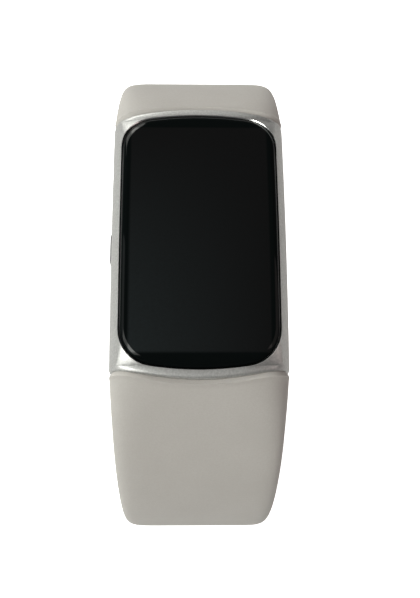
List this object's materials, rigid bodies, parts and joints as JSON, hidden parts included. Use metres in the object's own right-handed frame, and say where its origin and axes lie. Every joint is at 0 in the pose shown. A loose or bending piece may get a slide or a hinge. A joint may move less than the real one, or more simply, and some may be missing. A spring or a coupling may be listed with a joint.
{
  "type": "fitness tracker band",
  "caption": "Wrist fitness tracker: rounded metal case with an arched black cover glass, side panels and button, on a soft tapering strap pair that closes with pegs in holes.",
  "frame": {"origin": "centre of the flat sensor face on the back of the case, where it rests on the wrist", "axes": "+X across the band towards the side without a button, +Y along the case towards the strap with the holes, +Z out of the display"},
  "size_m": [0.0231, 0.0643, 0.0669],
  "materials": {
    "battery_foil": "pouch cell foil",
    "black_plastic": "black moulded polymer",
    "button_finish": "dark satin steel",
    "case_metal": "bead-blasted anodised aluminium, satin silver",
    "chip_black": "moulded chip package",
    "circuit_board": "green circuit board",
    "clasp_metal": "satin silver aluminium",
    "clear_adhesive": "clear optical gel",
    "copper": "bare copper loop",
    "cover_glass": "gloss cover glass with a black printed back",
    "display": "dark display panel",
    "flex_circuit": "amber polyimide film",
    "gold_contact": "gold plated",
    "led_lens": "clear emitter lens",
    "seal_rubber": "black seal rubber",
    "sensor_window": "dark tinted sensor window",
    "silicone": "soft-touch matte silicone, light warm grey",
    "spring_steel": "spring wire",
    "steel": "satin stainless steel",
    "strap_fitting": "stiff moulded strap end, warm grey"
  },
  "bodies": {
    "tracker_case": {"back_cover": "black_plastic", "back_cover_seal": "seal_rubber", "battery": "battery_foil", "battery_flex": "flex_circuit", "battery_pad": "seal_rubber", "board_chips": "chip_black", "board_shield": "steel", "case_shell": "case_metal", "charging_contacts": "gold_contact", "clasp_strap_connector": "strap_fitting", "clasp_strap_latch_spring": "spring_steel", "clasp_strap_root": "silicone", "cover_glass": "cover_glass", "display_adhesive": "clear_adhesive", "display_flex": "flex_circuit", "display_panel": "display", "electrode_contacts": "gold_contact", "electrode_insulator_left": "black_plastic", "electrode_insulator_right": "black_plastic", "frame_screws": "steel", "glass_seal": "seal_rubber", "hole_strap_connector": "strap_fitting", "hole_strap_latch_spring": "spring_steel", "hole_strap_root": "silicone", "light_baffle": "black_plastic", "main_board": "circuit_board", "mid_frame": "black_plastic", "nfc_antenna": "copper", "optical_board": "circuit_board", "pressure_sensor": "chip_black", "sensor_flex": "flex_circuit", "sensor_leds": "led_lens", "sensor_photodiodes": "chip_black", "sensor_window": "sensor_window", "side_button_gasket": "seal_rubber", "side_button_switch": "black_plastic", "side_electrode_left": "steel", "side_electrode_right": "steel", "vent_mesh": "steel", "vibration_motor_case": "steel", "vibration_motor_pin": "steel"},
    "hole_strap": {"hole_strap": "silicone"},
    "clasp_strap": {"clasp_strap": "silicone", "clasp_plate": "clasp_metal"},
    "side_button": {"side_button_cap": "button_finish"},
    "motor_weight": {"vibration_motor_weight": "steel"},
    "hole_strap_release": {"hole_strap_latch": "strap_fitting"},
    "clasp_strap_release": {"clasp_strap_latch": "strap_fitting"}
  },
  "joints": [
    {"name": "hole_strap_flex", "type": "hinge", "parent": "tracker_case", "child": "hole_strap", "pos_m": [0, 0.0254, 0.00249], "axis": [1, 0, 0], "range_deg": [0, 60], "stiffness_Nm_per_rad": 0.03},
    {"name": "clasp_strap_flex", "type": "hinge", "parent": "tracker_case", "child": "clasp_strap", "pos_m": [0, -0.0241, 0.00129], "axis": [-1, 0, 0], "range_deg": [-6, 60], "stiffness_Nm_per_rad": 0.03},
    {"name": "side_button_press", "type": "slide", "parent": "tracker_case", "child": "side_button", "axis": [1, 0, 0], "range_m": [0, 0.00035]},
    {"name": "hole_strap_latch_press", "type": "slide", "parent": "tracker_case", "child": "hole_strap_release", "axis": [0, 0, 1], "range_m": [0, 0.00055], "deforming": ["hole_strap_latch_spring"]},
    {"name": "clasp_strap_latch_press", "type": "slide", "parent": "tracker_case", "child": "clasp_strap_release", "axis": [0, 0, 1], "range_m": [0, 0.00055], "deforming": ["clasp_strap_latch_spring"]},
    {"name": "motor_weight_shake", "type": "slide", "parent": "tracker_case", "child": "motor_weight", "axis": [1, 0, 0], "range_m": [-0.0004, 0.0004]}
  ]
}
